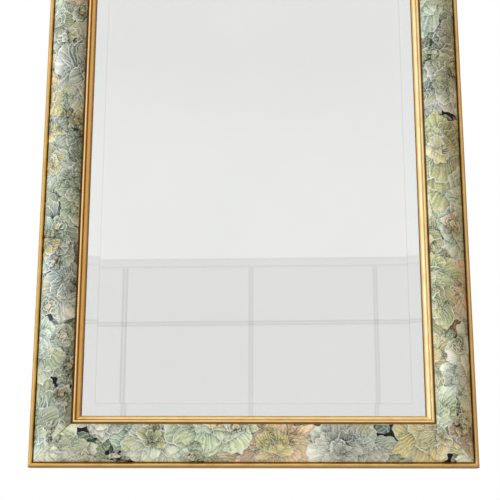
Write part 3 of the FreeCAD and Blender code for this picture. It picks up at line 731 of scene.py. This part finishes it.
def hardboard():
    """Brown hardboard: matted fibres, chips, scuffs, and the print of the wire screen on its rough side."""
    finish = Finish("hardboard", specular_ior_level=0.25)
    x, y, z = finish.split(finish.place())
    fibres = finish.noise(finish.place(), 420.0, 5.0, 0.7)
    clouds = finish.noise(finish.place(), 14.0, 4.0, 0.6)
    # The screen's wires are 1.6 mm apart
    screen_turn = 3900.0
    screen = (x * screen_turn).math("SINE") * (z * screen_turn).math("SINE")
    colour = finish.mix(paint_colour(96, 64, 40), paint_colour(138, 98, 64), fibres.step(0.3, 0.7))
    colour = finish.mix(colour, paint_colour(150, 112, 76), clouds.step(0.45, 0.8) * 0.35)
    chips = finish.noise(finish.join(x, z * 0.35, y), 1300.0, 2.0)
    slivers = finish.noise(finish.join(x * 0.3, z, y), 1500.0, 2.0)
    colour = finish.mix(colour, paint_colour(188, 152, 110), chips.step(0.60, 0.72) * 0.55)
    colour = finish.mix(colour, paint_colour(58, 36, 22), slivers.step(0.38, 0.28) * 0.6)
    colour = finish.times(colour, (0.7, 0.68, 0.66, 1), screen.step(-1.0, 0.2, 0.5, 0.0))
    scuffs = finish.noise(finish.join(x * 0.12, z, y), 160.0, 3.0) * finish.noise(finish.place(), 9.0, 2.0)
    colour = finish.mix(colour, paint_colour(176, 142, 104), scuffs.step(0.36, 0.44) * 0.45)
    finish.feed(base_color=colour, roughness=fibres.step(0.2, 0.8, 0.7, 0.88))
    finish.bump(screen * 0.35 + fibres * 0.6 + chips * 0.3, 0.0002)
    return finish.material


def corrugated_card():
    """Brown card with the flutes of its core showing through the liner."""
    finish = Finish("corrugated_card", specular_ior_level=0.2)
    x, _, _ = finish.split(finish.place())
    fibres = finish.noise(finish.place(), 700.0, 4.0, 0.65)
    # The flutes are 7 mm apart
    flute_turn = 900.0
    flutes = (x * flute_turn).math("SINE") * 0.5 + 0.5
    colour = finish.mix(paint_colour(168, 128, 84), paint_colour(196, 158, 112), fibres.step(0.3, 0.7))
    colour = finish.times(colour, (0.84, 0.82, 0.8, 1), flutes * 0.6)
    finish.feed(base_color=colour, roughness=fibres.step(0.2, 0.8, 0.75, 0.9))
    finish.bump(flutes + fibres * 0.3, 0.0002)
    return finish.material


def steel(name, bright, dull, roughness, spangle):
    """Plated or bare steel: a zinc spangle or a rolled grain, hairline scratches and a little dulling."""
    finish = Finish(name, metallic=1.0)
    place = finish.place()
    crystals = finish.cells(place, spangle)
    clouds = finish.noise(place, 240.0, 4.0, 0.6)
    x, y, z = finish.split(place)
    scratches = finish.noise(finish.join(x * 9, y * 9, z * 0.6), 1500.0, 1.0)
    colour = finish.mix(bright, dull, (crystals * 0.5 + clouds * 0.5).step(0.3, 0.75))
    colour = finish.mix(colour, (0.14, 0.11, 0.08, 1), clouds.step(0.68, 0.8) * 0.7)
    finish.feed(base_color=colour, roughness=clouds.step(0.3, 0.75, roughness, roughness + 0.22))
    finish.bump(scratches * 0.5 + clouds * 0.5, 0.00005)
    return finish.material


def bumper_rubber():
    """Grey rubber with a fine grain, rubbed paler where it meets the wall."""
    finish = Finish("bumper_rubber", specular_ior_level=0.35)
    grain = finish.noise(finish.place(), 1500.0, 3.0)
    clouds = finish.noise(finish.place(), 160.0, 3.0)
    _, y, _ = finish.split(finish.place())
    colour = finish.mix(paint_colour(66, 64, 62), paint_colour(88, 85, 80), clouds.step(0.3, 0.7))
    colour = finish.mix(colour, paint_colour(124, 120, 112), (y * 1000).step(-0.7, 0.0) * 0.5)
    finish.feed(base_color=colour, roughness=grain.step(0.2, 0.8, 0.5, 0.72))
    finish.bump(grain, 0.00008)
    return finish.material


def shim_board():
    """Grey packing board with cut, fibrous edges."""
    finish = Finish("shim_board", specular_ior_level=0.2)
    fibres = finish.noise(finish.place(), 900.0, 4.0, 0.7)
    colour = finish.mix(paint_colour(132, 126, 116), paint_colour(166, 160, 148), fibres.step(0.3, 0.7))
    finish.feed(base_color=colour, roughness=fibres.step(0.2, 0.8, 0.8, 0.92))
    finish.bump(fibres, 0.0002)
    return finish.material


def plate_glass():
    """Clear float glass, cooler in its bevel, whose inner arris shows as a thin grey line."""
    finish = Finish("plate_glass", transmission_weight=1.0, ior=1.5, roughness=0.0)
    x, _, z = finish.split(finish.place())
    across, up = (1000 * abs(axis) - BEVEL_END[name] for axis, name in ((x, "across"), (z, "up")))
    in_bevel = across.math("MAXIMUM", up)
    depth = finish.noise(finish.place(), 6.0, 1.0)
    colour = finish.mix((0.985, 0.985, 0.98, 1), (0.975, 0.98, 0.975, 1), depth)
    colour = finish.mix(colour, (0.95, 0.985, 1.0, 1), in_bevel.step(0.0, 6.0, 0.0, 0.12))
    colour = finish.times(colour, (0.955, 0.955, 0.955, 1), in_bevel.line(0.0, 0.9))
    finish.feed(base_color=colour)
    return finish.material


def silver():
    """The silver layer as the glass shows it."""
    finish = Finish("silver_layer", metallic=1.0, roughness=0.0)
    haze = finish.noise(finish.place(), 5.0, 2.0)
    colour = finish.mix((0.925, 0.925, 0.915, 1), (0.905, 0.91, 0.905, 1), haze.step(0.3, 0.7))
    finish.feed(base_color=colour)
    return finish.material


def backing_paint():
    """Grey protective paint on the back of the silver, with an orange peel."""
    finish = Finish("backing_paint", specular_ior_level=0.4)
    peel = finish.noise(finish.place(), 300.0, 2.0)
    clouds = finish.noise(finish.place(), 9.0, 4.0)
    colour = finish.mix(paint_colour(104, 108, 112), paint_colour(126, 128, 130), clouds.step(0.3, 0.7))
    finish.feed(base_color=colour, roughness=peel.step(0.2, 0.8, 0.4, 0.55))
    finish.bump(peel, 0.0001)
    return finish.material


# Pieces


def cover_section():
    """The cover's face and its underside: from groove to groove over the round, and back beneath it."""

    def round_rise(inset, sink):
        return CROWN_RISE - CROWN_RADIUS + math.sqrt((CROWN_RADIUS - sink) ** 2 - (CROWN - inset) ** 2)

    def over(outer, inner, sink):
        crown = (CROWN, CROWN_RISE - sink)
        return arc((outer, round_rise(outer, sink)), crown, (inner, round_rise(inner, sink)), 120)

    rounded = over(COVER_OUT, COVER_IN, 0)[::-1]
    face = [(COVER_IN, INNER_GROOVE_RISE), *rounded, (COVER_OUT, OUTER_GROOVE_RISE)]
    outer, inner = COVER_OUT + COVER_THICKNESS, COVER_IN - COVER_THICKNESS
    rounded = over(outer, inner, COVER_THICKNESS)[::17]
    under = [(outer, OUTER_GROOVE_RISE), *rounded, (inner, INNER_GROOVE_RISE)]
    return spaced(eased(face, 1.2), 0.96), np.asarray(under)


def make_cover(side, seed, level, material):
    """One mitred strip of printed cover on a fine grid, its ink and drawing kept on the points."""
    face, under = cover_section()
    section = np.concatenate((face, under))
    half = HALF[SIDES[side][0]]
    # Stations crowd towards the mitres, where the ends are rounded over
    ends = np.array((0.0, 0.06, 0.18, 0.36, 0.6)) / half
    first_even = 0.95 / half
    middle = np.linspace(-1 + first_even, 1 - first_even, round(2 * half / GRID_STEP))
    stations = np.concatenate((-1 + ends, middle, 1 - ends[::-1]))
    steps = np.gradient(face, axis=0)
    normals = np.stack((steps[:, 1], -steps[:, 0]), axis=1) / np.hypot(*steps.T)[:, None]
    normals = np.concatenate((normals, np.zeros_like(under)))
    points, faces, run = carried(side, section, stations, normals)
    steps = np.hypot(*np.diff(face, axis=0).T)
    across = np.concatenate(([0], np.cumsum(steps)))
    across = np.concatenate((across, np.full(len(under), across[-1])))
    across = np.broadcast_to(across, run.shape)
    cloth = print_cloth(run, across, across.max(), seed)
    piece = new_piece(f"printed_cover_{side}", points, faces, [material])
    # Painted light and shade: the strip's level lightens or darkens its ink
    colours = linear(np.clip(cloth.tint * level, 0, 1))
    ink = np.concatenate((colours, np.ones((len(colours), 1))), axis=1)
    drawing = np.stack((cloth.edge, cloth.phase, cloth.strength), axis=1)
    attributes = piece.data.attributes
    attributes.new("ink", "FLOAT_COLOR", "POINT").data.foreach_set("color", ink.ravel())
    attributes.new("drawing", "FLOAT_VECTOR", "POINT").data.foreach_set("vector", drawing.ravel())
    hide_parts(f"cover_{side}")


def edge_section():
    """The outer edge's section, with its arrises eased: a strip with a bead along its front."""
    bead = arc((EDGE_WIDTH, EDGE_SPRING), (EDGE_WIDTH / 2, EDGE_TOP), (0, EDGE_SPRING))
    line = eased([(EDGE_WIDTH, 0), *bead, (0, 0)], 0.5)
    return line[:: max(1, len(line) // 150)]


def liner_section():
    """The liner's section, with its arrises eased: a lip, a hollowed slope, a quirk and a rounded ridge."""
    middle = ((RIDGE_IN + SIGHT) / 2, (QUIRK + LIP_EDGE) / 2 - SLOPE_HOLLOW)
    slope = arc((SIGHT, LIP_EDGE), middle, (RIDGE_IN, QUIRK))
    top = ((RIDGE_IN + LINER_OUT) / 2, RIDGE_TOP)
    ridge = arc((RIDGE_IN, RIDGE_SPRING), top, (LINER_OUT, RIDGE_SPRING))
    line = eased([(SIGHT, REBATE_DEPTH), *slope, *ridge, (LINER_OUT, REBATE_DEPTH)], 0.3)
    return line[:: max(1, len(line) // 200)]


def make_gilt_length(name, side, section, material):
    """One mitred length of gilt moulding."""
    points, faces, _ = carried(side, section, np.linspace(-1, 1, 25))
    piece = new_piece(f"gilt_{name}_{side}", points, faces, [material])
    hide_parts(f"{name}_{side}")


def make_silvering(layer, paint):
    """The silvering: a thin slab a hair behind the glass, its front the silver and the rest of it paint."""
    low, high = (np.asarray(corner) * 1000 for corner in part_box("mirror_silvering"))
    front, back, ease = low[1] + 0.03, high[1], 0.05
    rings = []
    for inset, y in ((ease, front), (0, front + ease), (0, back - ease), (ease, back)):
        x, z = high[0] - inset, high[2] - inset
        rings.append([(-x, y, -z), (x, y, -z), (x, y, z), (-x, y, z)])
    points = np.asarray(rings).reshape(-1, 3)
    faces = [[0, 1, 2, 3], [15, 14, 13, 12]]
    for ring in range(3):
        for corner in range(4):
            a, b = 4 * ring + corner, 4 * ring + (corner + 1) % 4
            faces.append([b, a, a + 4, b + 4])
    piece = new_piece("silvering", points, faces, [layer, paint])
    piece.data.polygons.foreach_set("material_index", [0] + [1] * (len(faces) - 1))
    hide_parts("mirror_silvering")


def finish_nodes():
    """Gives every CAD node that is shown its finish."""
    bare = steel("bare_steel", (0.50, 0.51, 0.52, 1), (0.36, 0.37, 0.38, 1), 0.34, 420.0)
    finishes = {
        "rail": core_wood(),
        "mirror_glass": plate_glass(),
        "card_pad": corrugated_card(),
        "backing_board": hardboard(),
        "glass_edge_shims": shim_board(),
        "glazing_points": bare,
        "corner_v_nails": bare,
        "hanger": steel("plated_steel", (0.66, 0.63, 0.56, 1), (0.50, 0.46, 0.38, 1), 0.24, 900.0),
        "bumper": bumper_rubber(),
    }
    for name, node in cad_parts.items():
        for start, material in finishes.items():
            if name.startswith(start):
                node.data.materials.clear()
                node.data.materials.append(material)


# Studio

# The panelled wall that the mirror shows, in tangents of the angles up and across, and how far it leans
WALL_LEAN = 0.0104
LEDGE, LEDGE_TOP = 0.2485, 0.2561
RAIL_LINES = (0.1982, 0.1955)
STILE_LINES = (-0.1134, -0.1097, -0.0008, 0.0019, 0.1101, 0.1128)
# Linear colours of the surroundings that glass and metal show
DAYLIGHT, WARM_ROOM, CEILING = (1.28, 1.38, 1.55, 1), (0.69, 0.48, 0.26, 1), (1.15, 1.13, 1.08, 1)
WALL_BEHIND, DULL_FLOOR = (0.97, 0.97, 0.95, 1), (0.50, 0.43, 0.34, 1)
# Linear colours of the plain light from the left and from the right
COOL_LIGHT, WARM_LIGHT = (0.57, 0.61, 0.68, 1), (0.70, 0.49, 0.22, 1)
FLOOR_HALF, FLOOR_LEVEL = 12.0, -1.5


def panelling(across, up, y):
    """How much the wall before the mirror darkens the room: a ledge, and below it a rail and stiles."""
    ledge = up.line(LEDGE, 0.0014) * 0.07
    ledge = ledge + up.step(0.2502, LEDGE_TOP, 0.0, 0.03) * up.step(LEDGE_TOP, 0.2566, 1.0, 0.0)
    rail = (up.line(RAIL_LINES[0], 0.0012) + up.line(RAIL_LINES[1], 0.0012)) * 0.10
    rail = rail + up.line(sum(RAIL_LINES) / 2, 0.0013) * 0.03
    stiles = sum(across.line(place, 0.0012) for place in STILE_LINES) * 0.09
    panel = across.step(-0.1136, -0.1132) * across.step(-0.1098, -0.1094, 1.0, 0.0) * 0.06
    panel = panel + (across.line(0.0005, 0.0014) + across.line(0.11145, 0.0016)) * 0.04
    below = up.step(0.2468, 0.2478, 1.0, 0.0) * up.step(-0.4, -0.2)
    return (ledge + (rail + stiles + panel) * below) * y.step(-0.5, -0.3, 1.0, 0.0)


def make_world():
    """White all round for the camera, plain light for the rest.

    Metal and glass see the white wall behind the mirror, a pale panelled wall before it, daylight at the
    left, a warm room at the right and a dull floor.
    """
    world = bpy.data.worlds.new("studio")
    bpy.context.scene.world = world
    world.use_nodes = True
    nodes = Nodes(world.node_tree)
    sky = world.node_tree.nodes["Background"]
    paths = nodes.add("ShaderNodeLightPath", {}, {}).socket.node.outputs
    names = ("Is Camera Ray", "Is Glossy Ray", "Is Transmission Ray")
    camera, glossy, through = (Value(nodes, paths[name]) for name in names)
    x, y, z = nodes.split(nodes.add("ShaderNodeTexCoord", {}, {}, "Generated"))
    across = x / abs(y)
    up = z / abs(y) - across * WALL_LEAN
    level = up.step(0.2551, 0.2571, 0.835, 0.935) - z.step(0.30, 0.42, 0.0, 0.055)
    level = level - panelling(across, up, y) - up.step(0.06, 0.09, 0.16, 0.0)
    room = nodes.mix(nodes.grey(level), DAYLIGHT, x.step(-0.85, -0.45, 1.0, 0.0))
    room = nodes.mix(room, WARM_ROOM, x.step(0.32, 0.70))
    room = nodes.mix(room, CEILING, z.step(0.5, 0.85))
    room = nodes.mix(room, WALL_BEHIND, y.step(0.05, 0.4))
    room = nodes.mix(room, DULL_FLOOR, z.step(-0.75, -0.25, 1.0, 0.0))
    fill = nodes.mix(COOL_LIGHT, WARM_LIGHT, x.step(-0.6, 1.0))
    seen = nodes.mix(fill, room, (glossy + through).clamped())
    world.node_tree.links.new(nodes.mix(seen, (1, 1, 1, 1), camera).socket, sky.inputs["Color"])
    sky.inputs["Strength"].default_value = 1.0


def make_stage():
    """A pale floor well under the mirror, and a large soft key lamp far off at the left.

    Reflections don't show the lamp.
    """
    size, low = FLOOR_HALF, FLOOR_LEVEL
    corners = [(-size, -size, low), (size, -size, low), (size, size, low), (-size, size, low)]
    mesh = bpy.data.meshes.new("floor")
    mesh.from_pydata(corners, [], [(0, 1, 2, 3)])
    floor = bpy.data.objects.new("floor", mesh)
    bpy.context.scene.collection.objects.link(floor)
    finish = Finish("floor", specular_ior_level=0.2, roughness=0.8)
    clouds = finish.noise(finish.place(), 0.7, 3.0)
    finish.feed(base_color=finish.mix((0.84, 0.84, 0.83, 1), (0.87, 0.87, 0.86, 1), clouds))
    mesh.materials.append(finish.material)

    lamp = bpy.data.lights.new("key", "AREA")
    lamp.shape, lamp.size, lamp.energy = "DISK", 4.0, 1750.0
    lamp.color = (0.96, 1.0, 1.06)
    key = bpy.data.objects.new("key", lamp)
    bpy.context.scene.collection.objects.link(key)
    key.location = (-13.0, -6.9, 0.5)
    key.visible_glossy = False
    direction = Vector((0, 0, -0.1)) - key.location
    key.rotation_euler = direction.to_track_quat("-Z", "Y").to_euler()


def make_camera():
    """The photograph's view: below the middle, looking up a little."""
    lens = bpy.data.cameras.new("camera")
    lens.sensor_width, lens.lens = 36.0, 82.8
    camera = bpy.data.objects.new("camera", lens)
    bpy.context.scene.collection.objects.link(camera)
    camera.location = (-0.0055, -1.861, -0.6383)
    camera.rotation_euler = (math.radians(90 + 14.77), math.radians(-0.07), 0)
    bpy.context.scene.camera = camera


make_camera()
make_world()
make_stage()
satin = printed_satin()
for side_name, (seed, level) in STRIPS.items():
    make_cover(side_name, seed, level, satin)
edge_gold, liner_gold = gilt_edge(), gilt_liner()
for side_name in SIDES:
    make_gilt_length("edge", side_name, edge_section(), edge_gold)
    make_gilt_length("liner", side_name, liner_section(), liner_gold)
make_silvering(silver(), backing_paint())
finish_nodes()
bpy.context.scene.view_settings.view_transform = "Standard"
